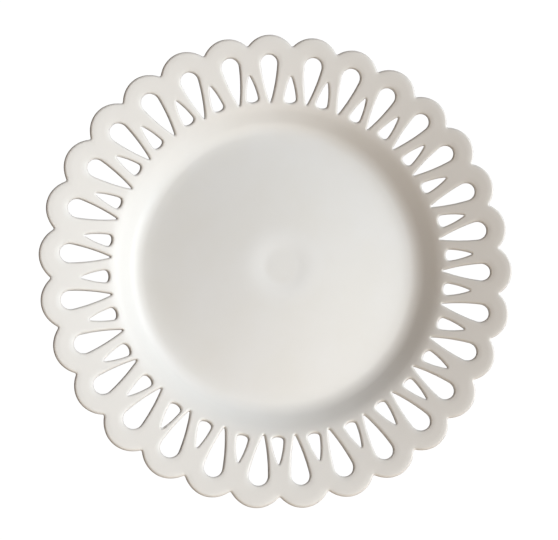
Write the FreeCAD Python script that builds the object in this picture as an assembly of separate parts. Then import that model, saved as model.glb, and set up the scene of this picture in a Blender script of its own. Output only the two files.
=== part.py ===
"""Round ceramic plate with a pierced, scalloped rim. Millimetres, +Z up.

The origin is the centre of the foot ring, on the table. +X runs through the middle of
the first scallop. The plate is one fired piece made of two materials:

  ceramic_body  fired clay: floor, wall, pierced rim and the foot ring under the floor
  glaze_coat    glass melted on to the clay, from the foot ring out and over the top
  recess_glaze  the same glass inside the foot ring, cut off by the wiped foot

All come from plate(inset), which builds the plate with every glazed surface moved
inward by inset: 0 gives the outside of the glaze, GLAZE gives the clay under it.
"""
import FreeCAD, Part
import math
import os
from FreeCAD import Vector

# Whole plate
OVERALL_DIAMETER = 270.0    # across the tops of the scallops, on average
OVERALL_HEIGHT = 35.4       # table to the upper edge of the rim
THICKNESS = 4.0             # glazed thickness of floor, wall and rim
GLAZE = 0.3
RIM_RADIUS = OVERALL_DIAMETER / 2

# Section of the plate as stations (distance from the axis, slope in degrees there).
# The surface is straight between equal slopes and an arc between different ones.
RIM_SLOPE = 24.0
WALL_SLOPE = 46.0
PAST_RIM = 4.0              # the section runs on past the scallops, which trim it
CENTRE_DIMPLE = [(0.0, 0.0), (9.0, 0.3), (12.5, 4.6), (24.0, -1.0)]
FLOOR_EDGE = [(76.0, -2.5), (82.0, 3.5)]
LEVEL_UNDERSIDE = [(0.0, 0.0), (81.4, 0.0)]
WALL_AND_RIM = [(90.5, WALL_SLOPE), (94.5, WALL_SLOPE),
                (101.0, RIM_SLOPE), (RIM_RADIUS + PAST_RIM, RIM_SLOPE)]

# Foot ring
FOOT_RADIUS = 76.5          # middle of the ring
FOOT_WIDTH = 4.6            # across its bottom
FOOT_DRAFT = 8.0            # degrees that each side leans
FOOT_ROUND = 1.2            # rounding of its bottom edges
DRY_FOOT = 1.5              # the glaze is wiped off up to this height

# Scalloped edge
SCALLOPS = 30
SCALLOP_ARC = 17.3          # radius of one scallop
NOTCH_ARC = 0.9             # rounding between two scallops
PITCH = 360.0 / SCALLOPS

# Large drop under each scallop: round head outward, point inward
DROP_HEAD = 5.3             # radius of the head
DROP_HEAD_AT = 119.5        # middle of the head from the axis
DROP_POINT = 0.5            # radius of the point
DROP_REACH = 21.6           # head centre to point centre, along the slope
DROP_FLANK = 100.0          # radius of the slightly bowed sides

# Small drop under each notch: blunt head inward, point outward
BUD_HEAD_AT = 101.7
BUD_CORNER = 1.9            # radius of each head corner
BUD_HALF_SPREAD = 1.6       # corner centre from the drop's own axis
BUD_BASE = 5.5              # radius of the blunt end
BUD_POINT = 0.45
BUD_REACH = 12.6
BUD_FLANK = 45.0

# Unevenness of a rim cut by hand: the most that each size strays from its mean
STRAY_SIDEWAYS = 1.1        # mm round the rim
STRAY_OUTWARD = 0.8         # mm along the slope
STRAY_TURN = 3.0            # degrees
STRAY_WIDTH = 0.05          # part of the width
STRAY_SCALLOP = 0.5         # mm, of a scallop's centre

# Any large, unrelated numbers do: they only scatter what stray() gives
STRAY_PER_INDEX = 12.9898
STRAY_PER_CHANNEL = 78.233
STRAY_SPREAD = 43758.5453

# Channels of stray(). A cutter takes three, for its turn, its place outward and sideways
DROP_CUTTER = 1
DROP_WIDTH = 4
BUD_CUTTER = 5
BUD_WIDTH = 8
SCALLOP_OUTWARD = 9
SCALLOP_SIDEWAYS = 10

CUTTER_LENGTH = 24.0
ORIGIN = Vector(0, 0, 0)
UP = Vector(0, 0, 1)
ALONG_Y = Vector(0, 1, 0)


def stray(index, channel):
    """A repeatable uneven number between -1 and 1."""
    spread = math.sin(STRAY_PER_INDEX * index + STRAY_PER_CHANNEL * channel) * STRAY_SPREAD
    return 2 * (spread - math.floor(spread)) - 1


def polar(centre, radius, angle):
    return Vector(centre[0] + radius * math.cos(angle), centre[1] + radius * math.sin(angle), 0)


def arc_edge(centre, radius, start, end, turn):
    """Arc from angle start to angle end, anticlockwise for turn 1, clockwise for -1."""
    sweep = turn * ((turn * (end - start)) % (2 * math.pi))
    ends = [polar(centre, radius, start + sweep * part) for part in (0, 0.5, 1)]
    return Part.Arc(*ends).toShape()


def circles_meet(first, first_radius, second, second_radius, side):
    """Where two circles cross, left (side 1) or right (-1) of the line first to second."""
    gap_x = second[0] - first[0]
    gap_y = second[1] - first[1]
    gap = math.hypot(gap_x, gap_y)
    along = (gap ** 2 + first_radius ** 2 - second_radius ** 2) / (2 * gap)
    across = side * math.sqrt(first_radius ** 2 - along ** 2)
    return (first[0] + (along * gap_x - across * gap_y) / gap,
            first[1] + (along * gap_y + across * gap_x) / gap)


def bearing(start, end):
    return math.atan2(end[1] - start[1], end[0] - start[0])


def rounded_face(corners, bows):
    """Face bounded by arcs round the corners (x, y, radius), joined by arcs of radius bows."""
    edges = []
    joints = []
    for index, corner in enumerate(corners):
        following = corners[(index + 1) % len(corners)]
        bow = bows[index]
        middle = circles_meet(corner, bow - corner[2], following, bow - following[2], 1)
        joints.append((bearing(middle, corner), bearing(middle, following)))
        edges.append(arc_edge(middle, bow, joints[-1][0], joints[-1][1], 1))
    for index, corner in enumerate(corners):
        edges.append(arc_edge(corner, corner[2], joints[index - 1][1], joints[index][0], 1))
    return Part.Face(Part.Wire(Part.__sortEdges__(edges)))


def drop_face(index, inset):
    wide = 1 + STRAY_WIDTH * stray(index, DROP_WIDTH)
    head = (0, 0, DROP_HEAD * wide + inset)
    point = (-DROP_REACH, 0, DROP_POINT + inset)
    return rounded_face([head, point], [DROP_FLANK + inset] * 2)


def bud_face(index, inset):
    spread = BUD_HALF_SPREAD + STRAY_WIDTH * BUD_CORNER * 2 * stray(index, BUD_WIDTH)
    corner = BUD_CORNER + inset
    corners = [(0, spread, corner), (0, -spread, corner), (BUD_REACH, 0, BUD_POINT + inset)]
    return rounded_face(corners, [BUD_BASE + inset, BUD_FLANK + inset, BUD_FLANK + inset])


def section_points(stations):
    """Stations as (radius, height, slope in radians), with the rim at its full height."""
    angles = [(radius, math.radians(slope)) for radius, slope in stations]
    end_radius, end_slope = angles[-1]
    height = OVERALL_HEIGHT + (end_radius - RIM_RADIUS) * math.tan(end_slope)
    points = [(end_radius, height, end_slope)]
    for radius, slope in reversed(angles[:-1]):
        outer = points[0]
        height = outer[1] - (outer[0] - radius) * math.tan((slope + outer[2]) / 2)
        points.insert(0, (radius, height, slope))
    return points


def moved(point, distance):
    """A section point moved along the surface's normal, as a point of the XZ plane."""
    radius, height, slope = point
    return Vector(radius - distance * math.sin(slope), 0, height + distance * math.cos(slope))


def section_edges(stations, distance):
    """Edges of a section line moved distance along its normal."""
    edges = []
    points = section_points(stations)
    for start, end in zip(points, points[1:]):
        if start[2] == end[2]:
            edges.append(Part.LineSegment(moved(start, distance), moved(end, distance)).toShape())
            continue
        curve = (end[0] - start[0]) / (math.sin(end[2]) - math.sin(start[2]))
        slope = (start[2] + end[2]) / 2
        middle = (start[0] + curve * (math.sin(slope) - math.sin(start[2])),
                  start[1] + curve * (math.cos(start[2]) - math.cos(slope)), slope)
        arc = Part.Arc(moved(start, distance), moved(middle, distance), moved(end, distance))
        edges.append(arc.toShape())
    return edges


def rim_height(radius):
    """Height of the rim's glazed upper face at a distance from the axis."""
    return OVERALL_HEIGHT - (RIM_RADIUS - radius) * math.tan(math.radians(RIM_SLOPE))


def dish(inset):
    """Floor, wall and rim as one turned solid, wider than the scallops."""
    upper = section_edges(CENTRE_DIMPLE + FLOOR_EDGE + WALL_AND_RIM, -inset)
    lower = section_edges(LEVEL_UNDERSIDE + WALL_AND_RIM, inset - THICKNESS)
    axis = Part.LineSegment(lower[0].Vertexes[0].Point, upper[0].Vertexes[0].Point).toShape()
    end = Part.LineSegment(lower[-1].Vertexes[-1].Point, upper[-1].Vertexes[-1].Point).toShape()
    outline = Part.Wire(Part.__sortEdges__(upper + lower + [axis, end]))
    return Part.Face(outline).revolve(ORIGIN, UP, 360)


def foot_ring(inset):
    """Ring under the floor, reaching the middle of the floor's thickness."""
    top = section_points(LEVEL_UNDERSIDE + WALL_AND_RIM)[0][1] - THICKNESS / 2
    low = FOOT_WIDTH / 2 - inset
    high = low + top * math.tan(math.radians(FOOT_DRAFT))
    corners = [(-low, 0), (low, 0), (high, top), (-high, top), (-low, 0)]
    outline = Part.makePolygon([Vector(FOOT_RADIUS + across, 0, height) for across, height in corners])
    ring = Part.Face(outline).revolve(ORIGIN, UP, 360)
    bottom = [edge for edge in ring.Edges if edge.Closed and edge.BoundBox.ZMax < DRY_FOOT / 2]
    return ring.makeFillet(FOOT_ROUND - inset, bottom)


def scallop_column(inset):
    """Upright column with the plan outline of the scalloped edge."""
    scallop = SCALLOP_ARC - inset
    notch = NOTCH_ARC + inset
    reach = RIM_RADIUS - SCALLOP_ARC
    centres = []
    for index in range(SCALLOPS):
        out = reach + STRAY_SCALLOP * stray(index, SCALLOP_OUTWARD)
        sideways = STRAY_SCALLOP * stray(index, SCALLOP_SIDEWAYS)
        angle = math.radians(index * PITCH) + sideways / RIM_RADIUS
        centres.append((out * math.cos(angle), out * math.sin(angle)))
    apart = scallop + notch
    notches = [circles_meet(centre, apart, centres[(index + 1) % SCALLOPS], apart, -1)
               for index, centre in enumerate(centres)]
    edges = []
    for index, centre in enumerate(centres):
        following = centres[(index + 1) % SCALLOPS]
        gap = notches[index]
        start = bearing(centre, notches[index - 1])
        edges.append(arc_edge(centre, scallop, start, bearing(centre, gap), 1))
        edges.append(arc_edge(gap, notch, bearing(gap, centre), bearing(gap, following), -1))
    face = Part.Face(Part.Wire(edges))
    return face.extrude(UP * (OVERALL_HEIGHT + PAST_RIM))


def cutter(face, index, radius, azimuth, channel):
    """A face drawn in the rim's slope, turned into a tool that cuts square through the rim."""
    face.translate(UP * (-CUTTER_LENGTH / 2))
    tool = face.extrude(UP * CUTTER_LENGTH)
    tool.rotate(ORIGIN, UP, STRAY_TURN * stray(index, channel))
    outward = STRAY_OUTWARD * stray(index, channel + 1)
    sideways = STRAY_SIDEWAYS * stray(index, channel + 2)
    tool.translate(Vector(outward, sideways, 0))
    tool.rotate(ORIGIN, ALONG_Y, -RIM_SLOPE)
    tool.translate(Vector(radius, 0, rim_height(radius)))
    tool.rotate(ORIGIN, UP, azimuth)
    return tool


def piercings(inset):
    tools = []
    for index in range(SCALLOPS):
        drop_at = index * PITCH
        bud_at = drop_at + PITCH / 2
        tools.append(cutter(drop_face(index, inset), index, DROP_HEAD_AT, drop_at, DROP_CUTTER))
        tools.append(cutter(bud_face(index, inset), index, BUD_HEAD_AT, bud_at, BUD_CUTTER))
    return tools


def plate(inset):
    """The whole plate with every glazed surface moved inward by inset."""
    scalloped = dish(inset).common(scallop_column(inset))
    footed = scalloped.fuse(foot_ring(inset)).removeSplitter()
    return footed.cut(piercings(inset)).Solids[0]


def export(name, shape):
    shape.exportStep(os.path.join("parts", name + ".step"))


def main():
    os.makedirs("parts", exist_ok=True)
    clay = plate(GLAZE)
    wiped = Part.makeCylinder(RIM_RADIUS, DRY_FOOT)
    glass = plate(0).cut(wiped).cut(clay)
    recess, coat = sorted(glass.Solids, key=lambda solid: solid.Volume)
    export("ceramic_body", clay)
    export("glaze_coat", coat)
    export("recess_glaze", recess)


main()
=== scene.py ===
"""Looks of a glazed plate with a pierced, scalloped rim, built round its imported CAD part.

Shapes are worked out in millimetres in the part's own frame and become metres when a
piece is made. A skin is one closed-off side of the plate: the glaze's outside (inset 0)
or the clay under it (inset GLAZE). Both follow the same rules, so that the glaze is a
thin, closed shell that lies exactly on the clay.
"""
import math
from collections import namedtuple

import bmesh
import bpy
import numpy as np
from mathutils import Matrix, Vector


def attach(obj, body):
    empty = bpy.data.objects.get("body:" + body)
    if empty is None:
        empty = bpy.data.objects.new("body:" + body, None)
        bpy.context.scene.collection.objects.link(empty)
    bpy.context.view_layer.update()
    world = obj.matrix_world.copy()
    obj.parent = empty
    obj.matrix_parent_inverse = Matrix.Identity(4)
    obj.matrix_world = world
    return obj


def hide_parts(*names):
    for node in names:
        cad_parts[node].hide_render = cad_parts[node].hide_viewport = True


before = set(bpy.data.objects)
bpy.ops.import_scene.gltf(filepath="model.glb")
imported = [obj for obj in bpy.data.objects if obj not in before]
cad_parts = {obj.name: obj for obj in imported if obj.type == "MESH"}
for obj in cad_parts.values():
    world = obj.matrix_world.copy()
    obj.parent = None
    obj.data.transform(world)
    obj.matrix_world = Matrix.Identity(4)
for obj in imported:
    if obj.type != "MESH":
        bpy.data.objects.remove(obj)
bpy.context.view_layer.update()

# Sizes of the plate, as in its CAD source
OVERALL_DIAMETER = 270.0
OVERALL_HEIGHT = 35.4
THICKNESS = 4.0
GLAZE = 0.3
RIM_RADIUS = OVERALL_DIAMETER / 2
RIM_SLOPE = math.radians(24.0)

# Section of the plate as stations (distance from the axis, slope in degrees there).
# The surface is straight between equal slopes and an arc between different ones.
CENTRE_DIMPLE = [(0.0, 0.0), (9.0, 0.3), (12.5, 4.6), (24.0, -1.0)]
FLOOR_EDGE = [(76.0, -2.5), (82.0, 3.5)]
LEVEL_UNDERSIDE = [(0.0, 0.0), (81.4, 0.0)]
WALL_AND_RIM = [(90.5, 46.0), (94.5, 46.0), (101.0, 24.0), (139.0, 24.0)]

# Foot ring
FOOT_RADIUS = 76.5
FOOT_WIDTH = 4.6
FOOT_DRAFT = math.radians(8.0)
FOOT_ROUND = 1.2
FOOT_FILLET = 0.9           # glaze and clay gather where the ring meets the floor
DRY_FOOT = 1.5

# Scalloped edge
SCALLOPS = 30
PITCH = 2 * math.pi / SCALLOPS
SCALLOP_ARC = 17.3
NOTCH_ARC = 0.9

# Large drops and small ones, here called buds
DROP_HEAD = 5.3
DROP_HEAD_AT = 119.5
DROP_POINT = 0.5
DROP_REACH = 21.6
DROP_FLANK = 100.0
BUD_HEAD_AT = 101.7
BUD_CORNER = 1.9
BUD_HALF_SPREAD = 1.6
BUD_BASE = 5.5
BUD_POINT = 0.45
BUD_REACH = 12.6
BUD_FLANK = 45.0

# Unevenness of a rim cut by hand
STRAY_SIDEWAYS = 1.1
STRAY_OUTWARD = 0.8
STRAY_TURN = math.radians(3.0)
STRAY_WIDTH = 0.05
STRAY_SCALLOP = 0.5

# Any large, unrelated numbers do: they only scatter what stray() gives
STRAY_PER_INDEX = 12.9898
STRAY_PER_CHANNEL = 78.233
STRAY_SPREAD = 43758.5453

# Channels of stray(). A hole takes three, for its turn, its place outward and sideways
DROP_CUTTER = 1
DROP_WIDTH = 4
BUD_CUTTER = 5
BUD_WIDTH = 8
SCALLOP_OUTWARD = 9
SCALLOP_SIDEWAYS = 10

# Rounding that glaze and sponging give to every cut edge
EDGE_ROUND = 1.8            # how far the rounding of the outer edge reaches inward
HOLE_ROUND_TOP = 1.2
HOLE_ROUND_UNDER = 0.9

# Where the pierced rim's own mesh ends and the turned surfaces begin
INNER_TOP = 96.0
INNER_UNDER = 98.2
EVEN_OUT = 8.0              # over this distance the turned surfaces' columns become even

# Mesh density: how many divisions each stretch of surface gets
Detail = namedtuple("Detail", "scallop notch gap flank band rounding cove corner point_half")
FINE = Detail(scallop=18, notch=3, gap=6, flank=16, band=3, rounding=3, cove=12, corner=3, point_half=2)
COARSE = Detail(scallop=8, notch=2, gap=3, flank=9, band=1, rounding=2, cove=6, corner=2, point_half=1)
DROP_POINT_STEPS = 4
BUD_BASE_STEPS = 8
COLUMNS = SCALLOPS * (DROP_POINT_STEPS + BUD_BASE_STEPS)
BEND_POWER = 5                  # how late a line between holes bends off to its two ends
EVEN_COLUMNS = (np.arange(COLUMNS) - DROP_POINT_STEPS / 2) * 2 * math.pi / COLUMNS
TOP_FOLD_ROWS = 2               # from the inner circle to the straight of the wall
UNDER_FOLD_ROWS = 1
WALL_ROWS = 2
FLOOR_EDGE_ROWS = 3
DISC_STRETCHES = ((56.0, 4), (27.0, 5), (13.0, 9), (2.5, 8))    # radius to reach, rows
JOIN_SHARE = 0.93               # the radius of a halved ring, as a share of the one outside it
FOOT_REACH = 4.0                # the foot ring's mesh, either side of its middle
FOOT_STEPS = 5
FRONT_ANGLE = math.radians(52)  # half of the drop head that faces the scallop

# Slow waves in the height of the rim: how many round the plate, height, phase
WAVES_FROM = 85.0
WAVES = ((2, 0.16, 0.7), (3, 0.10, 2.1), (5, 0.07, 4.0), (9, 0.04, 1.3))

# Colours, as linear red, green and blue
GLAZE_WHITE = (0.792, 0.791, 0.787)
GLAZE_CREAM = (0.775, 0.768, 0.748)
GLAZE_RIM_TONE = (0.774, 0.754, 0.730)      # darker and warmer, on the wall and rim
GLAZE_BREAK_AND_EDGE_SHADE = (0.36, 0.285, 0.22)       # where it breaks over an arris, with painted shade darkening the cut edges too
GLAZE_DIMPLE_RING = (0.806, 0.806, 0.802)    # lighter, in a ring round the dimple
GLAZE_PINHOLE = (0.45, 0.38, 0.30)
CLAY_CREAM = (0.70, 0.60, 0.46)
CLAY_BUFF = (0.62, 0.50, 0.37)
CLAY_WORN = (0.42, 0.38, 0.33)
CLAY_SPECK = (0.25, 0.17, 0.11)
FLOOR_GREY = (0.14, 0.13, 0.12)
WHITE = (1, 1, 1, 1)

# Where the glaze changes: metres from the axis between which each share grows or fades
RIM_TONE_GROWS = (0.082, 0.102)
DIMPLE_RING_GROWS = (0.008, 0.012)
DIMPLE_RING_FADES = (0.017, 0.027)

# Ranges of a pattern's value that are stretched to other ones
NOISE_RANGE = (0.3, 0.7)        # noise seldom leaves it, so it is stretched to 0 and 1
CLOUD_RANGE = (0.35, 0.65)
WEAR_RANGE = (0.55, 0.7)
ARRIS_RANGE = (0.52, 0.60)      # of pointiness, which is 0.5 on a flat face
ARRIS_MOST = 0.6                # the most that the darker edge colour, glaze break and painted shade, covers
GLAZE_ROUGHNESS = (0.44, 0.52)
CLAY_ROUGHNESS = (0.75, 0.92)
DOT_EDGE = 1 / 6                # width of a dot's soft edge, as a share of its size

# The mix node's sockets that carry colours
MIX_COLOURS_IN = (6, 7)
MIX_COLOUR_OUT = 2

# Camera: distance in metres, lens in millimetres, shift as a share of the picture's width
CAMERA_TILT = math.radians(9.41)
CAMERA_TOWARD = math.radians(219.8)
CAMERA_ROLL = math.radians(1.98)
CAMERA_DISTANCE = 0.324
CAMERA_LENS = 37.0
CAMERA_SHIFT = (-0.0152, -0.0149)

# Light: angle round the plate, angle above it, metres away, metres wide, watts, colour
KEY_LIGHT = (math.radians(12), math.radians(34), 1.0, 0.7, 11.0, (0.87, 0.947, 1.0))
FILL_LIGHT = (math.radians(-75), math.radians(48), 0.6, 0.4, 1.35, (1.0, 0.885, 0.74))
HIGH_LIGHT = (math.radians(-20), math.radians(75), 0.6, 0.25, 0.42, (1.0, 0.99, 0.96))
SKY_COLOUR = (1.0, 0.62, 0.36)
SKY_STRENGTH = 0.075
FLOOR_GLOW = 1.14             # just over white
FLOOR_GLOW_SHARE = 0.9        # for the camera, the rest being the grey that other rays see
FLOOR_REACH = 3.0             # metres from its middle to each side
FLOOR_DROP = 0.00005          # metres below the foot, so that the two faces don't coincide

MILLIMETRE = 0.001
WELD = 1e-6                   # metres between points that become one
ROOT = "root"


# ---------------------------------------------------------------- sections and outlines

def stray(index, channel):
    """A repeatable uneven number between -1 and 1."""
    spread = math.sin(STRAY_PER_INDEX * index + STRAY_PER_CHANNEL * channel) * STRAY_SPREAD
    return 2 * (spread - math.floor(spread)) - 1


class Section:
    """A line turned round the axis: straight stretches and arcs between stations."""

    def __init__(self, radii, heights, slopes):
        self.radii = np.asarray(radii, float)
        self.heights = np.asarray(heights, float)
        self.slopes = np.asarray(slopes, float)

    @classmethod
    def hung_from_rim(cls, stations):
        """Stations (radius, slope in degrees), with the rim's edge at the plate's height."""
        radii = [radius for radius, _ in stations]
        slopes = [math.radians(slope) for _, slope in stations]
        heights = [OVERALL_HEIGHT + (radii[-1] - RIM_RADIUS) * math.tan(slopes[-1])]
        for index in reversed(range(len(radii) - 1)):
            run = radii[index + 1] - radii[index]
            rise = run * math.tan((slopes[index] + slopes[index + 1]) / 2)
            heights.insert(0, heights[0] - rise)
        return cls(radii, heights, slopes)

    def moved(self, distance):
        """The same line moved distance along its normal, upward if positive."""
        return Section(self.radii - distance * np.sin(self.slopes),
                       self.heights + distance * np.cos(self.slopes), self.slopes)

    def height(self, radius):
        """Height of the line at distances from the axis."""
        index = np.clip(np.searchsorted(self.radii, radius) - 1, 0, len(self.radii) - 2)
        slope = np.arcsin(np.interp(radius, self.radii, np.sin(self.slopes)))
        run = radius - self.radii[index]
        return self.heights[index] + run * np.tan((self.slopes[index] + slope) / 2)

    def lift(self, plan):
        """Plan points (x, y) put at the turned surface's height."""
        height = self.height(np.hypot(plan[..., 0], plan[..., 1]))
        return np.concatenate([plan, height[..., None]], axis=-1)


UPPER = Section.hung_from_rim(CENTRE_DIMPLE + FLOOR_EDGE + WALL_AND_RIM)
UNDERSIDE = Section.hung_from_rim(LEVEL_UNDERSIDE + WALL_AND_RIM).moved(-THICKNESS)


def circles_meet(first, first_radius, second, second_radius, side):
    """Where two circles cross, left (side 1) or right (-1) of the line first to second."""
    gap_x = second[0] - first[0]
    gap_y = second[1] - first[1]
    gap = math.hypot(gap_x, gap_y)
    along = (gap ** 2 + first_radius ** 2 - second_radius ** 2) / (2 * gap)
    across = side * math.sqrt(first_radius ** 2 - along ** 2)
    return (first[0] + (along * gap_x - across * gap_y) / gap,
            first[1] + (along * gap_y + across * gap_x) / gap)


def bearing(start, end):
    return math.atan2(end[1] - start[1], end[0] - start[0])


class Outline:
    """Points on a chain of arcs, which can be moved into the material along their normals."""

    def __init__(self):
        self.centres = []
        self.angles = []
        self.radii = []
        self.senses = []

    def arc(self, centre, radius, start, end, count, turn=1, sense=1):
        """Adds count points from start towards end. Sense 1 puts the material outside the arc."""
        sweep = turn * ((turn * (end - start)) % (2 * math.pi))
        for step in range(count):
            self.centres.append(centre[:2])
            self.angles.append(start + sweep * step / count)
            self.radii.append(radius)
            self.senses.append(sense)

    def points(self, inward):
        """The outline's points, moved inward into the material."""
        reach = np.array(self.radii) + np.array(self.senses) * inward
        angles = np.array(self.angles)
        return np.array(self.centres) + reach[:, None] * np.stack([np.cos(angles), np.sin(angles)], 1)


def tangents(corner, following, bow):
    """Centre and end angles of the arc of radius bow that joins two corner circles."""
    middle = circles_meet(corner, bow - corner[2], following, bow - following[2], 1)
    return middle, bearing(middle, corner), bearing(middle, following)


def drop_outline(index, detail):
    """Large drop: scallop side of the head, gap side, flank, point, flank, gap side."""
    head = (0, 0, DROP_HEAD * (1 + STRAY_WIDTH * stray(index, DROP_WIDTH)))
    point = (-DROP_REACH, 0, DROP_POINT)
    left, left_head, left_point = tangents(head, point, DROP_FLANK)
    right, right_point, right_head = tangents(point, head, DROP_FLANK)
    outline = Outline()
    outline.arc(head, head[2], -FRONT_ANGLE, FRONT_ANGLE, detail.scallop + 2 * detail.notch)
    outline.arc(head, head[2], FRONT_ANGLE, left_head, detail.gap)
    outline.arc(left, DROP_FLANK, left_head, left_point, detail.flank)
    outline.arc(point, point[2], left_point, right_point, DROP_POINT_STEPS)
    outline.arc(right, DROP_FLANK, right_point, right_head, detail.flank)
    outline.arc(head, head[2], right_head, -FRONT_ANGLE, detail.gap)
    return outline


def bud_outline(index, detail):
    """Small drop: half of the point, flank, corner, base, corner, flank, half of the point."""
    spread = BUD_HALF_SPREAD + STRAY_WIDTH * BUD_CORNER * 2 * stray(index, BUD_WIDTH)
    left = (0, spread, BUD_CORNER)
    right = (0, -spread, BUD_CORNER)
    point = (BUD_REACH, 0, BUD_POINT)
    base, base_left, base_right = tangents(left, right, BUD_BASE)
    lower, lower_corner, lower_point = tangents(right, point, BUD_FLANK)
    upper, upper_point, upper_corner = tangents(point, left, BUD_FLANK)
    straight = detail.flank - detail.corner - detail.point_half
    outline = Outline()
    outline.arc(point, BUD_POINT, 0, upper_point, detail.point_half)
    outline.arc(upper, BUD_FLANK, upper_point, upper_corner, straight)
    outline.arc(left, BUD_CORNER, upper_corner, base_left, detail.corner)
    outline.arc(base, BUD_BASE, base_left, base_right, BUD_BASE_STEPS)
    outline.arc(right, BUD_CORNER, base_right, lower_corner, detail.corner)
    outline.arc(lower, BUD_FLANK, lower_corner, lower_point, straight)
    outline.arc(point, BUD_POINT, lower_point, 0, detail.point_half)
    return outline


def scallop_outlines(detail):
    """One outline per scallop, from the middle of one notch to the middle of the next."""
    centres = []
    for index in range(SCALLOPS):
        out = RIM_RADIUS - SCALLOP_ARC + STRAY_SCALLOP * stray(index, SCALLOP_OUTWARD)
        angle = index * PITCH + STRAY_SCALLOP / RIM_RADIUS * stray(index, SCALLOP_SIDEWAYS)
        centres.append((out * math.cos(angle), out * math.sin(angle)))
    apart = SCALLOP_ARC + NOTCH_ARC
    notches = [circles_meet(centre, apart, centres[(index + 1) % SCALLOPS], apart, -1)
               for index, centre in enumerate(centres)]
    outlines = []
    for index, centre in enumerate(centres):
        before = notches[index - 1]
        after = notches[index]
        start = bearing(before, (0, 0))
        end = bearing(after, (0, 0))
        outline = Outline()
        outline.arc(before, NOTCH_ARC, start, bearing(before, centre), detail.notch, turn=-1)
        outline.arc(centre, SCALLOP_ARC, bearing(centre, before), bearing(centre, after),
                    detail.scallop, sense=-1)
        outline.arc(after, NOTCH_ARC, bearing(after, centre), end, detail.notch, turn=-1)
        outline.arc(after, NOTCH_ARC, end, end, 1)
        outlines.append(outline)
    return outlines


def on_slope(points, index, radius, azimuth, channel, depth):
    """Points of a tool's face to plan points, where the tool is depth below the rim's face."""
    turn = STRAY_TURN * stray(index, channel)
    outward = STRAY_OUTWARD * stray(index, channel + 1)
    sideways = STRAY_SIDEWAYS * stray(index, channel + 2)
    along = points[:, 0] * math.cos(turn) - points[:, 1] * math.sin(turn) + outward
    across = points[:, 0] * math.sin(turn) + points[:, 1] * math.cos(turn) + sideways
    out = radius + along * math.cos(RIM_SLOPE) + depth * math.sin(RIM_SLOPE)
    return np.stack([out * math.cos(azimuth) - across * math.sin(azimuth),
                     out * math.sin(azimuth) + across * math.cos(azimuth)], 1)


# ---------------------------------------------------------------- grids of points

def between(start, end, steps):
    """Rows from start to end, both included, evenly spaced."""
    share = np.linspace(0, 1, steps + 1)[:, None, None]
    return start[None] * (1 - share) + end[None] * share


def closed(grid):
    """A grid whose last column is its first."""
    return np.concatenate([grid, grid[:, :1]], axis=1)


def rounded_edge(top_at, under_at, across_top, across_under, down_top, down_under, steps):
    """Rows from the upper face, round one cut edge, to the lower face.

    top_at and under_at give the edge's points on each face, moved into the material.
    A down value of None carries that rounding to the middle of the thickness.
    """
    rows = []
    for step in range(steps + 1):
        angle = math.pi / 2 * step / steps
        rows.append(round_row(top_at, under_at, across_top, down_top, angle))
    for step in reversed(range(steps + 1)):
        angle = math.pi / 2 * step / steps
        if down_under is None and step == steps:
            continue
        rows.append(round_row(under_at, top_at, across_under, down_under, angle))
    return np.array(rows)


def round_row(face_at, other_at, across, down, angle):
    """One row of a quarter ellipse that starts on a face and turns down towards the other."""
    inward = across * (1 - math.sin(angle))
    start = face_at(inward)
    through = other_at(inward) - start
    thickness = np.linalg.norm(through, axis=1, keepdims=True)
    depth = thickness / 2 if down is None else down
    return start + through / thickness * depth * (1 - math.cos(angle))


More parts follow.
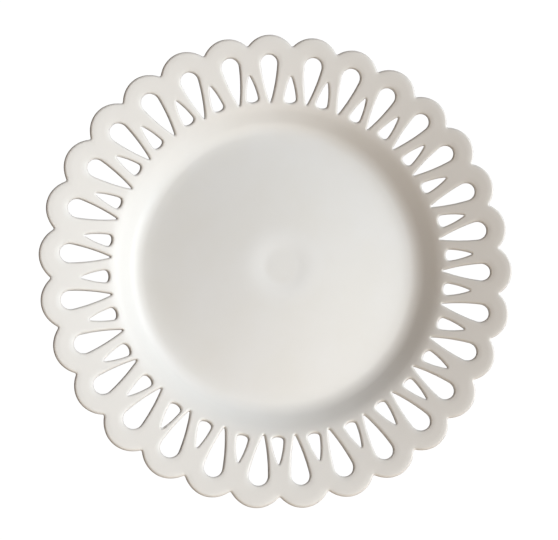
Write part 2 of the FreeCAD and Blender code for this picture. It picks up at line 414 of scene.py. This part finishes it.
class Rim:
    """The pierced rim of one skin, on its upper face and its lower face."""

    def __init__(self, inset, detail):
        self.inset = inset
        self.detail = detail
        self.upper = UPPER.moved(-inset)
        self.under = UNDERSIDE.moved(inset)
        self.edges = scallop_outlines(detail)
        self.drops = [drop_outline(index, detail) for index in range(SCALLOPS)]
        self.buds = [bud_outline(index, detail) for index in range(SCALLOPS)]
        front = detail.scallop + 2 * detail.notch
        self.marks = np.cumsum([front, detail.gap, detail.flank, DROP_POINT_STEPS, detail.flank])

    def drop_plan(self, index, inward, depth):
        points = self.drops[index].points(inward + self.inset)
        return on_slope(points, index, DROP_HEAD_AT, index * PITCH, DROP_CUTTER, depth)

    def bud_plan(self, index, inward, depth):
        points = self.buds[index].points(inward + self.inset)
        return on_slope(points, index, BUD_HEAD_AT, (index + 0.5) * PITCH, BUD_CUTTER, depth)

    def edge_plan(self, index, inward):
        return self.edges[index].points(inward + self.inset)

    def hole_grids(self):
        """The rounded walls of every drop and bud."""
        grids = []
        for plan in (self.drop_plan, self.bud_plan):
            for index in range(SCALLOPS):
                def top_at(inward):
                    return self.upper.lift(plan(index, inward, 0))

                def under_at(inward):
                    return self.under.lift(plan(index, inward, THICKNESS))

                top = HOLE_ROUND_TOP - self.inset
                under = HOLE_ROUND_UNDER - self.inset
                rows = rounded_edge(top_at, under_at, top, under, top, under, self.detail.rounding)
                grids.append(closed(rows))
        return grids

    def edge_grids(self):
        """The rounded outer edge, one grid per scallop."""
        grids = []
        for index in range(SCALLOPS):
            def top_at(inward):
                return self.upper.lift(self.edge_plan(index, inward))

            def under_at(inward):
                return self.under.lift(self.edge_plan(index, inward))

            across = EDGE_ROUND - self.inset
            steps = self.detail.rounding + 1
            grids.append(rounded_edge(top_at, under_at, across, across, None, None, steps))
        return grids

    def lines(self, depth, inner_radius):
        """The lines between holes on one face: gap lines, flank lines and the inner circle."""
        _, head_left, point_left, point_right, head_right = self.marks
        detail = self.detail
        drops = [self.drop_plan(index, 0, depth) for index in range(SCALLOPS)]
        buds = [self.bud_plan(index, 0, depth) for index in range(SCALLOPS)]
        base_end = detail.flank + BUD_BASE_STEPS
        forks = []
        after = []
        before = []
        for index in range(SCALLOPS):
            following = (index + 1) % SCALLOPS
            shoulders = (drops[index][head_left] + drops[following][head_right]) / 2
            forks.append((buds[index][0] + shoulders) / 2)
        for index in range(SCALLOPS):
            bud_right = np.concatenate([buds[index][base_end:], buds[index][:1]])[::-1]
            bud_left = buds[index - 1][:detail.flank + 1]
            drop_left = drops[index][head_left:point_left + 1]
            drop_right = drops[index][point_right:head_right + 1][::-1]
            after.append(middle_line(drop_left, bud_right, forks[index], inner_radius))
            before.append(middle_line(drop_right, bud_left, forks[index - 1], inner_radius))
        return forks, after, before

    def face_grids(self, depth, inner_radius, section, rounding):
        """The flat of the rim between holes on one face, and the angles of its inner circle."""
        forks, after, before = self.lines(depth, inner_radius)
        inner = inner_angles(before, after)
        circle = inner_radius * np.stack([np.cos(inner), np.sin(inner)], 1)
        sector = DROP_POINT_STEPS + BUD_BASE_STEPS
        edge_inward = EDGE_ROUND - self.inset
        edges = [self.edge_plan(index, edge_inward) for index in range(SCALLOPS)]
        gaps = [between(edges[index][-1:], forks[index][None], self.detail.gap)[:, 0]
                for index in range(SCALLOPS)]
        grids = []
        for index in range(SCALLOPS):
            following = (index + 1) % SCALLOPS
            start = index * sector
            turning = start + DROP_POINT_STEPS
            narrow = circle[start:turning + 1]
            wide = np.take(circle, range(turning, start + sector + 1), axis=0, mode="wrap")
            drop_border = [edges[index][:-1], gaps[index][:-1], after[index][:-1], narrow[:0:-1],
                           before[index][:0:-1], gaps[index - 1][:0:-1]]
            bud_border = [before[following][:-1], wide[:0:-1], after[index][:0:-1]]
            for plan, border in ((self.drop_plan, drop_border), (self.bud_plan, bud_border)):
                hole = plan(index, rounding - self.inset, depth)
                grid = between(hole, np.concatenate(border), self.detail.band)
                grids.append(closed(section.lift(grid)))
        return grids, inner

    def grids(self):
        """All of the rim's grids, with the angles of its inner circle above and below."""
        top, top_angles = self.face_grids(0, INNER_TOP, self.upper, HOLE_ROUND_TOP)
        under, under_angles = self.face_grids(THICKNESS, INNER_UNDER, self.under, HOLE_ROUND_UNDER)
        return self.hole_grids() + self.edge_grids() + top + under, top_angles, under_angles


def middle_line(one, other, fork, inner_radius):
    """The line halfway between two flanks, drawn out to a fork and in to the inner circle."""
    line = (one + other) / 2
    end = line[-1] / np.hypot(*line[-1]) * inner_radius
    share = np.linspace(0, 1, len(line))[:, None]
    to_fork = (fork - line[0]) * (1 - share) ** BEND_POWER
    to_circle = (end - line[-1]) * share ** BEND_POWER
    return line + to_fork + to_circle


def inner_angles(before, after):
    """Angles of the inner circle's points, anticlockwise from the first drop's right side."""
    starts = np.array([math.atan2(line[-1][1], line[-1][0]) for line in before])
    ends = np.array([math.atan2(line[-1][1], line[-1][0]) for line in after])
    drop_middles = np.arange(SCALLOPS) * PITCH
    starts = drop_middles + wrapped(starts - drop_middles)
    ends = drop_middles + wrapped(ends - drop_middles)
    angles = []
    for index in range(SCALLOPS):
        upto = starts[index + 1] if index + 1 < SCALLOPS else starts[0] + 2 * math.pi
        angles.append(np.linspace(starts[index], ends[index], DROP_POINT_STEPS, endpoint=False))
        angles.append(np.linspace(ends[index], upto, BUD_BASE_STEPS, endpoint=False))
    return np.concatenate(angles)


def wrapped(angles):
    return (angles + math.pi) % (2 * math.pi) - math.pi


def turned(profile, angles):
    """Profile points (radius, height) turned round the axis, the columns growing even."""
    away = np.abs(profile[:, :1] - profile[0, 0]) / EVEN_OUT
    share = np.clip(away, 0, 1)
    return closed(turned_rows(profile, angles * (1 - share) + EVEN_COLUMNS * share))


def turned_rows(profile, columns):
    radius = profile[:, :1]
    height = profile[:, 1:] + 0 * columns
    return np.stack([radius * np.cos(columns), radius * np.sin(columns), height], axis=-1)


def section_rows(section, start, counts):
    """Profile points on a section from radius start inward, with counts rows to each station."""
    stations = [radius for radius in section.radii[::-1] if radius < start]
    radii = [np.array([start])]
    for stop, count in zip(stations, counts):
        radii.append(np.linspace(radii[-1][-1], stop, count + 1)[1:])
    radii = np.concatenate(radii)
    return np.stack([radii, section.height(radii)], 1)


def rounded_path(corners, roundings, steps):
    """A path of (radius, height) points with an arc at each inner corner."""
    corners = np.array(corners, float)
    path = [corners[:1]]
    for index, rounding in enumerate(roundings, 1):
        here = corners[index]
        back = corners[index - 1] - here
        ahead = corners[index + 1] - here
        back = back / np.hypot(*back)
        ahead = ahead / np.hypot(*ahead)
        half = math.acos(np.clip(back @ ahead, -1, 1)) / 2
        bisector = (back + ahead) / np.hypot(*(back + ahead))
        centre = here + bisector * rounding / math.sin(half)
        start = here + back * rounding / math.tan(half) - centre
        end = here + ahead * rounding / math.tan(half) - centre
        sweep = math.pi - 2 * half
        for step in range(steps + 1):
            share = step / steps
            weight = math.sin(sweep * (1 - share)), math.sin(sweep * share)
            path.append((centre + (start * weight[0] + end * weight[1]) / math.sin(sweep))[None])
    path.append(corners[-1:])
    return np.concatenate(path)


def foot_face(inset, side, height):
    """Distance from the axis of the foot ring's outer (side 1) or inner (-1) face."""
    half = FOOT_WIDTH / 2 - inset + height * math.tan(FOOT_DRAFT)
    return FOOT_RADIUS + side * half


def foot_side(inset, side):
    """Glazed side of the foot ring: from the underside, round the fillet, to the wiped line."""
    ceiling = underside_height(inset)
    start = FOOT_RADIUS + side * FOOT_REACH
    corners = [(start, ceiling), (foot_face(inset, side, ceiling), ceiling),
               (foot_face(inset, side, DRY_FOOT), DRY_FOOT)]
    return rounded_path(corners, [FOOT_FILLET + inset], FOOT_STEPS)


def bare_foot(inset):
    """The whole foot ring of the clay, from the outer underside round to the inner one."""
    ceiling = underside_height(inset)
    corners = [(FOOT_RADIUS + FOOT_REACH, ceiling), (foot_face(inset, 1, ceiling), ceiling),
               (foot_face(inset, 1, 0), 0), (foot_face(inset, -1, 0), 0),
               (foot_face(inset, -1, ceiling), ceiling), (FOOT_RADIUS - FOOT_REACH, ceiling)]
    fillet = FOOT_FILLET + inset
    rounding = FOOT_ROUND - inset
    return rounded_path(corners, [fillet, rounding, rounding, fillet], FOOT_STEPS)


def underside_height(inset):
    return UNDERSIDE.moved(inset).heights[0]


def disc(height_at, start):
    """Grids and joins from radius start to the axis. The columns halve after each stretch."""
    grids = []
    joins = []
    every = 1
    for index, (stop, rows) in enumerate(DISC_STRETCHES):
        radii = np.linspace(start, stop, rows + 1)
        columns = EVEN_COLUMNS[::every]
        grid = turned_rows(np.stack([radii, height_at(radii)], 1), columns)
        grids.append(closed(grid))
        if index + 1 < len(DISC_STRETCHES):
            start = stop * JOIN_SHARE
            every *= 2
            profile = np.array([[start, height_at(np.array([start]))[0]]])
            inner = turned_rows(profile, EVEN_COLUMNS[::every])
            joins += halving_join(grid[-1], inner[0])
    centre = np.array([0, 0, height_at(np.zeros(1))[0]])
    ring = grids[-1][-1]
    joins += [np.array([ring[index], ring[index + 1], centre]) for index in range(len(ring) - 1)]
    return grids, joins


def halving_join(outer, inner):
    """Faces between a ring and one with half as many points."""
    faces = []
    for index in range(len(inner)):
        here = outer[2 * index]
        half = outer[2 * index + 1]
        following = outer[(2 * index + 2) % len(outer)]
        faces.append(np.array([here, half, inner[index]]))
        faces.append(np.array([half, following, inner[(index + 1) % len(inner)], inner[index]]))
    return faces


# ---------------------------------------------------------------- pieces

def rim_and_wall(inset, detail):
    """Grids and joins of one skin, down to where the underside goes level."""
    rim = Rim(inset, detail)
    grids, top_angles, under_angles = rim.grids()
    top_counts = [TOP_FOLD_ROWS, WALL_ROWS, detail.cove, FLOOR_EDGE_ROWS]
    top = section_rows(rim.upper, INNER_TOP, top_counts)
    under = section_rows(rim.under, INNER_UNDER, [UNDER_FOLD_ROWS, WALL_ROWS, detail.cove])
    grids.append(turned(top, top_angles))
    floor_grids, joins = disc(rim.upper.height, top[-1, 0])
    return grids + floor_grids, joins, under, under_angles


def uneven(points):
    """The slight waves of a thrown and cut rim: nothing on the foot, most at the edge."""
    angle = np.arctan2(points[:, 1], points[:, 0])
    radius = np.hypot(points[:, 0], points[:, 1])
    share = np.clip((radius - WAVES_FROM) / (RIM_RADIUS - WAVES_FROM), 0, 1) ** 2
    wave = sum(height * np.cos(count * angle + phase) for count, height, phase in WAVES)
    moved = points.copy()
    moved[:, 2] += share * wave
    return moved


def joined(grids, joins):
    """All points, and the faces as lists of point numbers, of grids and loose faces."""
    points = []
    faces = []
    total = 0
    for grid in grids:
        rows, columns = grid.shape[:2]
        index = total + np.arange(rows * columns).reshape(rows, columns)
        quads = np.stack([index[:-1, :-1], index[:-1, 1:], index[1:, 1:], index[1:, :-1]], -1)
        faces.extend(quads.reshape(-1, 4).tolist())
        points.append(grid.reshape(-1, 3))
        total += rows * columns
    for face in joins:
        faces.append(list(range(total, total + len(face))))
        points.append(face)
        total += len(face)
    return np.concatenate(points), faces


def add_object(name, data):
    item = bpy.data.objects.new(name, data)
    bpy.context.scene.collection.objects.link(item)
    return item


def make_piece(name, grids, joins, material, node):
    """One welded, closed mesh that rides on the plate and stands for a CAD node."""
    points, faces = joined(grids, joins)
    mesh = bpy.data.meshes.new(name)
    mesh.from_pydata(uneven(points) * MILLIMETRE, [], faces)
    weld(mesh)
    mesh.shade_smooth()
    mesh.materials.append(material)
    piece = add_object(name, mesh)
    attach(piece, ROOT)
    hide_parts(node)


def weld(mesh):
    """Joins the grids along their shared borders and turns every face outward."""
    work = bmesh.new()
    work.from_mesh(mesh)
    bmesh.ops.remove_doubles(work, verts=work.verts, dist=WELD)
    bmesh.ops.recalc_face_normals(work, faces=work.faces)
    work.to_mesh(mesh)
    work.free()


def glaze_piece(material):
    """The closed glaze shell over the plate, ending at the wiped foot."""
    grids = []
    joins = []
    lips = []
    for inset, detail in ((0, FINE), (GLAZE, COARSE)):
        skin, skin_joins, under, angles = rim_and_wall(inset, detail)
        profile = np.concatenate([under, foot_side(inset, 1)[1:]])
        underside = turned(profile, angles)
        grids += skin + [underside]
        joins += skin_joins
        lips.append(underside[-1])
    grids.append(np.array(lips))
    make_piece("white_glaze", grids, joins, material, "glaze_coat")


def clay_piece(material):
    """The fired clay under the glaze. Only the bottom of its foot ring shows."""
    grids, joins, under, angles = rim_and_wall(GLAZE, COARSE)
    path = bare_foot(GLAZE)
    grids.append(turned(np.concatenate([under, path[1:]]), angles))
    recess, recess_joins = recess_disc(GLAZE, path[-1, 0])
    make_piece("fired_clay_body", grids + recess, joins + recess_joins, material,
               "ceramic_body")


def recess_piece(material):
    """The disc of glaze inside the foot ring."""
    grids = []
    joins = []
    lips = []
    for inset in (0, GLAZE):
        path = foot_side(inset, -1)
        side = turned_rows(path, np.tile(EVEN_COLUMNS, (len(path), 1)))
        flat, flat_joins = recess_disc(inset, path[0, 0])
        grids += [closed(side)] + flat
        joins += flat_joins
        lips.append(closed(side)[-1])
    grids.append(np.array(lips))
    make_piece("recess_white_glaze", grids, joins, material, "recess_glaze")


def recess_disc(inset, start):
    ceiling = underside_height(inset)
    return disc(lambda radii: 0 * radii + ceiling, start)


# ---------------------------------------------------------------- materials

def add_node(tree, kind, inputs=(), **settings):
    """A node with its settings. Each input is a socket to link from, or a plain value."""
    node = tree.nodes.new(kind)
    for name, value in settings.items():
        setattr(node, name, value)
    for name, value in dict(inputs).items():
        if isinstance(value, bpy.types.NodeSocket):
            tree.links.new(value, node.inputs[name])
        else:
            node.inputs[name].default_value = value
    return node


def new_material(name):
    """An empty node material, its tree and the object's own coordinates in metres."""
    material = bpy.data.materials.new(name)
    material.use_nodes = True
    tree = material.node_tree
    tree.nodes.clear()
    return material, tree, tree.nodes.new("ShaderNodeTexCoord").outputs["Object"]


def noise(tree, place, size, detail=2.0, roughness=0.5):
    """Cloudy noise whose patches are about size millimetres across."""
    scale = 1 / (size * MILLIMETRE)
    inputs = {"Vector": place, "Scale": scale, "Detail": detail, "Roughness": roughness}
    return add_node(tree, "ShaderNodeTexNoise", inputs).outputs["Fac"]


def spread(tree, value, low, high, start=0.0, end=1.0):
    """A value between low and high stretched to run from start to end."""
    inputs = {"Value": value, "From Min": low, "From Max": high, "To Min": start, "To Max": end}
    return add_node(tree, "ShaderNodeMapRange", inputs).outputs["Result"]


def dots(tree, place, apart, size, share):
    """Round dots up to size millimetres across, in a share of cells about apart millimetres wide."""
    cells = add_node(tree, "ShaderNodeTexVoronoi", {"Vector": place, "Scale": 1 / (apart * MILLIMETRE)})
    picked = add_node(tree, "ShaderNodeSeparateColor", {"Color": cells.outputs["Color"]}).outputs["Red"]
    radius = spread(tree, picked, 1 - share, 1, 0, size / 2 / apart)
    inside = add_node(tree, "ShaderNodeMath", {0: radius}, operation="SUBTRACT")
    tree.links.new(cells.outputs["Distance"], inside.inputs[1])
    return spread(tree, inside.outputs["Value"], 0, size / apart * DOT_EDGE)


def mixed(tree, share, first, second):
    """Colour first where share is 0 and second where it is 1."""
    node = add_node(tree, "ShaderNodeMix", {"Factor": share}, data_type="RGBA")
    for number, value in zip(MIX_COLOURS_IN, (first, second)):
        socket = node.inputs[number]
        if isinstance(value, bpy.types.NodeSocket):
            tree.links.new(value, socket)
        else:
            socket.default_value = (*value, 1)
    return node.outputs[MIX_COLOUR_OUT]


def radius_of(tree, place):
    """Distance from the plate's axis in metres."""
    flat = add_node(tree, "ShaderNodeVectorMath", {0: place, 1: (1, 1, 0)}, operation="MULTIPLY")
    length = add_node(tree, "ShaderNodeVectorMath", {0: flat.outputs["Vector"]}, operation="LENGTH")
    return length.outputs["Value"]


def bump(tree, heights):
    """Normals bent by heights: (value from 0 to 1, its size in millimetres) pairs."""
    normal = None
    for value, height in heights:
        inputs = {"Height": value, "Distance": height * MILLIMETRE}
        if normal is not None:
            inputs["Normal"] = normal
        normal = add_node(tree, "ShaderNodeBump", inputs).outputs["Normal"]
    return normal


def finish_material(tree, inputs):
    shader = add_node(tree, "ShaderNodeBsdfPrincipled", inputs)
    add_node(tree, "ShaderNodeOutputMaterial", {"Surface": shader.outputs["BSDF"]})


def glaze_look():
    """Warm white glaze: soft gloss, faint clouds, orange-peel ripple, a few pinholes, darker and warmer
    on the wall and rim, lighter in a ring round the dimple, and darker cut edges that are partly glaze
    break and partly painted shade.
    """
    material, tree, place = new_material("white_glaze")
    clouds = spread(tree, noise(tree, place, size=34.0, detail=3.0), *NOISE_RANGE)
    ripple = noise(tree, place, size=2.2, detail=1.0)
    slow_ripple = noise(tree, place, size=14.0, detail=1.0)
    smears = noise(tree, place, size=20.0, detail=4.0)
    pinholes = dots(tree, place, apart=9.0, size=0.35, share=0.15)
    pointiness = add_node(tree, "ShaderNodeNewGeometry").outputs["Pointiness"]
    # Darker colour on the rounded edges: partly the glaze breaking over them, partly painted shade that
    # deepens the dark lines along the cut edges.
    arris = spread(tree, pointiness, *ARRIS_RANGE, 0, ARRIS_MOST)
    radius = radius_of(tree, place)
    # Darker, warmer glaze colour from 82 mm out, over the wall and the rim.
    thin = spread(tree, radius, *RIM_TONE_GROWS)
    # Lighter glaze colour in a ring round the dimple, from 8 to 27 mm out.
    dimple_ring = spread(tree, radius, *DIMPLE_RING_FADES, spread(tree, radius, *DIMPLE_RING_GROWS), 0)
    white = mixed(tree, clouds, GLAZE_WHITE, GLAZE_CREAM)
    over_dimple = mixed(tree, dimple_ring, white, GLAZE_DIMPLE_RING)
    over_rim = mixed(tree, thin, over_dimple, GLAZE_RIM_TONE)
    over_edges = mixed(tree, arris, over_rim, GLAZE_BREAK_AND_EDGE_SHADE)
    finish_material(tree, {
        "Base Color": mixed(tree, pinholes, over_edges, GLAZE_PINHOLE),
        "Roughness": spread(tree, smears, *NOISE_RANGE, *GLAZE_ROUGHNESS),
        "IOR": 1.5,
        "Coat Weight": 0.2,
        "Coat Roughness": 0.22,
        "Normal": bump(tree, [(slow_ripple, 0.05), (ripple, 0.012), (pinholes, -0.05)]),
    })
    return material


def clay_look():
    """Fired earthenware on the wiped foot: cream, matt and finely speckled, with grey wear."""
    material, tree, place = new_material("fired_clay_bare")
    grain = noise(tree, place, size=0.5, detail=4.0, roughness=0.65)
    clouds = spread(tree, noise(tree, place, size=12.0, detail=3.0), *CLOUD_RANGE)
    scuffs = noise(tree, place, size=4.0, detail=5.0, roughness=0.7)
    wear = spread(tree, scuffs, *WEAR_RANGE)
    specks = dots(tree, place, apart=1.6, size=0.4, share=0.3)
    cream = mixed(tree, clouds, CLAY_CREAM, CLAY_BUFF)
    worn = mixed(tree, wear, cream, CLAY_WORN)
    finish_material(tree, {
        "Base Color": mixed(tree, specks, worn, CLAY_SPECK),
        "Roughness": spread(tree, grain, *NOISE_RANGE, *CLAY_ROUGHNESS),
        "Normal": bump(tree, [(grain, 0.06), (specks, -0.03)]),
    })
    return material


# ---------------------------------------------------------------- camera, light and floor

def add_camera():
    """A camera above the plate, a little to the lower left, looking almost straight down."""
    lean = Vector((math.cos(CAMERA_TOWARD), math.sin(CAMERA_TOWARD), 0)) * math.sin(CAMERA_TILT)
    back = lean + Vector((0, 0, math.cos(CAMERA_TILT)))
    turn = Vector((0, 0, 1)).rotation_difference(back).to_matrix() @ Matrix.Rotation(CAMERA_ROLL, 3, "Z")
    data = bpy.data.cameras.new("camera")
    data.lens = CAMERA_LENS
    data.shift_x, data.shift_y = CAMERA_SHIFT
    camera = add_object("camera", data)
    place = Vector((0, 0, OVERALL_HEIGHT * MILLIMETRE)) + back * CAMERA_DISTANCE
    camera.matrix_world = Matrix.Translation(place) @ turn.to_4x4()
    bpy.context.scene.camera = camera


def add_light(name, toward, height, distance, size, power, colour):
    """A square soft light at an angle round the plate and above it, aimed at its middle."""
    data = bpy.data.lights.new(name, "AREA")
    data.size = size
    data.energy = power
    data.color = colour
    light = add_object(name, data)
    back = Vector((math.cos(toward) * math.cos(height),
                   math.sin(toward) * math.cos(height),
                   math.sin(height)))
    light.location = back * distance
    light.rotation_mode = "QUATERNION"
    light.rotation_quaternion = back.to_track_quat("Z", "Y")


def add_floor():
    """A plain pale floor. It glows for the camera so that the plate stands on clean white."""
    material, tree, _ = new_material("floor_pale")
    grey = add_node(tree, "ShaderNodeBsdfDiffuse", {"Color": (*FLOOR_GREY, 1)})
    glow = add_node(tree, "ShaderNodeEmission", {"Color": WHITE, "Strength": FLOOR_GLOW})
    paler = add_node(tree, "ShaderNodeMixShader", {0: FLOOR_GLOW_SHARE})
    tree.links.new(grey.outputs["BSDF"], paler.inputs[1])
    tree.links.new(glow.outputs["Emission"], paler.inputs[2])
    seen = add_node(tree, "ShaderNodeLightPath").outputs["Is Camera Ray"]
    shader = add_node(tree, "ShaderNodeMixShader", {0: seen})
    tree.links.new(grey.outputs["BSDF"], shader.inputs[1])
    tree.links.new(paler.outputs["Shader"], shader.inputs[2])
    add_node(tree, "ShaderNodeOutputMaterial", {"Surface": shader.outputs["Shader"]})
    mesh = bpy.data.meshes.new("floor")
    far = FLOOR_REACH
    corners = [(x, y, -FLOOR_DROP) for x, y in ((-far, -far), (far, -far), (far, far), (-far, far))]
    mesh.from_pydata(corners, [], [(0, 1, 2, 3)])
    mesh.materials.append(material)
    add_object("floor", mesh)


def add_world():
    world = bpy.data.worlds.new("studio")
    world.use_nodes = True
    tree = world.node_tree
    room = tree.nodes["Background"]
    room.inputs["Color"].default_value = (*SKY_COLOUR, 1)
    room.inputs["Strength"].default_value = SKY_STRENGTH
    white = add_node(tree, "ShaderNodeBackground", {"Color": WHITE})
    seen = add_node(tree, "ShaderNodeLightPath").outputs["Is Camera Ray"]
    shader = add_node(tree, "ShaderNodeMixShader", {0: seen})
    tree.links.new(room.outputs["Background"], shader.inputs[1])
    tree.links.new(white.outputs["Background"], shader.inputs[2])
    tree.links.new(shader.outputs["Shader"], tree.nodes["World Output"].inputs["Surface"])
    bpy.context.scene.world = world


glaze_material = glaze_look()
glaze_piece(glaze_material)
recess_piece(glaze_material)
clay_piece(clay_look())
add_camera()
add_floor()
add_world()
add_light("window", *KEY_LIGHT)
add_light("room", *FILL_LIGHT)
add_light("ceiling", *HIGH_LIGHT)
bpy.context.scene.view_settings.view_transform = "Standard"
